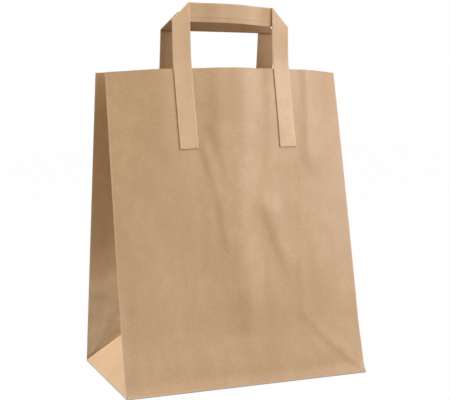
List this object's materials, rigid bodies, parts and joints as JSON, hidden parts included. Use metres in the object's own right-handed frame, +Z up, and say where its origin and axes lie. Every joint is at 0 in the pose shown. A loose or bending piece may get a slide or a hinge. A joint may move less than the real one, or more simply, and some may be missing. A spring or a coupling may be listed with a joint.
{
  "type": "paper carrier bag",
  "caption": "Kraft paper carrier bag with a flat satchel base, folded side gussets and folded paper tape handles.",
  "frame": {"origin": "middle of the base, on the surface that the bag stands on", "axes": "+Z up, +X across the wide panels to the right of the front, +Y from the front panel to the rear one"},
  "size_m": [0.25, 0.16, 0.3705],
  "materials": {
    "kraft_sheet": "uncoated brown kraft paper, matt, with fine fibres",
    "handle_tape": "folded brown kraft paper tape, matt"
  },
  "bodies": {
    "root": {"bag_body": "kraft_sheet", "front_handle": "handle_tape", "rear_handle": "handle_tape"}
  },
  "joints": []
}
